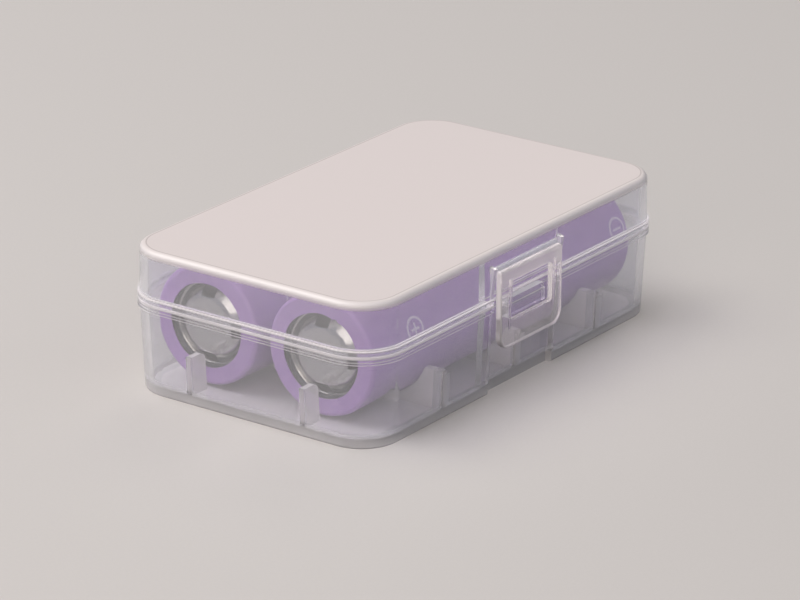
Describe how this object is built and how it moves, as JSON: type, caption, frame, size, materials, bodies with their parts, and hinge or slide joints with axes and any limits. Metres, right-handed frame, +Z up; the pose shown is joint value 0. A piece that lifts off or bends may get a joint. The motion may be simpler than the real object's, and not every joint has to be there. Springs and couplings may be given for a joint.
{
  "type": "battery storage case",
  "caption": "Clear hinged case with ribbed cradles and a snap latch flap, holding cylindrical cells.",
  "frame": {"origin": "middle of the flat bottom face of the tray, on the surface that the case stands on", "axes": "+X along the long side, away from the cells' positive ends; +Y towards the hinge webs, so the latch faces -Y; +Z up through the lid"},
  "size_m": [0.0768, 0.0488, 0.0226],
  "materials": {
    "tray_polypropylene": "moulded polypropylene, natural and clear, faintly milky",
    "lid_polypropylene": "moulded polypropylene, natural and clear, faintly milky, frosted on the roof",
    "latch_polypropylene": "moulded polypropylene, natural and clear, faintly milky",
    "web_polypropylene": "moulded polypropylene, natural and clear, faintly milky, thin and flexed",
    "sleeve_film": "shrunk film, purple, satin",
    "insulating_paper": "pressed paper, dark, matt",
    "nickel_plated_steel": "drawn sheet, nickel plated",
    "gasket_plastic": "moulded, dark, matt",
    "limiter_polymer": "filled polymer between foils",
    "disc_aluminium": "stamped sheet",
    "insulator_film": "punched film, matt",
    "electrode_roll": "coated foils, wound"
  },
  "bodies": {
    "base": {"base_tray": "tray_polypropylene", "hinge_web_left": "web_polypropylene", "hinge_web_right": "web_polypropylene"},
    "lid": {"lid_shell": "lid_polypropylene", "latch_hinge_web": "web_polypropylene"},
    "latch": {"latch_flap": "latch_polypropylene"},
    "front_cell": {"front_cell_sleeve": "sleeve_film", "front_cell_insulating_ring": "insulating_paper", "front_cell_can": "nickel_plated_steel", "front_cell_gasket": "gasket_plastic", "front_cell_positive_cap": "nickel_plated_steel", "front_cell_limiter_ring": "limiter_polymer", "front_cell_burst_disc": "disc_aluminium", "front_cell_upper_insulator": "insulator_film", "front_cell_winding": "electrode_roll", "front_cell_lower_insulator": "insulator_film"},
    "back_cell": {"back_cell_sleeve": "sleeve_film", "back_cell_insulating_ring": "insulating_paper", "back_cell_can": "nickel_plated_steel", "back_cell_gasket": "gasket_plastic", "back_cell_positive_cap": "nickel_plated_steel", "back_cell_limiter_ring": "limiter_polymer", "back_cell_burst_disc": "disc_aluminium", "back_cell_upper_insulator": "insulator_film", "back_cell_winding": "electrode_roll", "back_cell_lower_insulator": "insulator_film"}
  },
  "joints": [
    {"name": "lid_hinge", "type": "hinge", "parent": "base", "child": "lid", "pos_m": [0, 0.02446, 0.0142], "axis": [-1, 0, 0], "range_deg": [0, 180], "deforming": ["hinge_web_left", "hinge_web_right"]},
    {"name": "latch_hinge", "type": "hinge", "parent": "lid", "child": "latch", "pos_m": [0, -0.02332, 0.0199], "axis": [-1, 0, 0], "range_deg": [-3, 125], "deforming": ["latch_hinge_web"]},
    {"name": "front_cell_turn", "type": "hinge", "parent": "base", "child": "front_cell", "pos_m": [0.0008, -0.00953, 0.011], "axis": [1, 0, 0], "continuous": true},
    {"name": "back_cell_turn", "type": "hinge", "parent": "base", "child": "back_cell", "pos_m": [0.0008, 0.01113, 0.011], "axis": [1, 0, 0], "continuous": true}
  ]
}
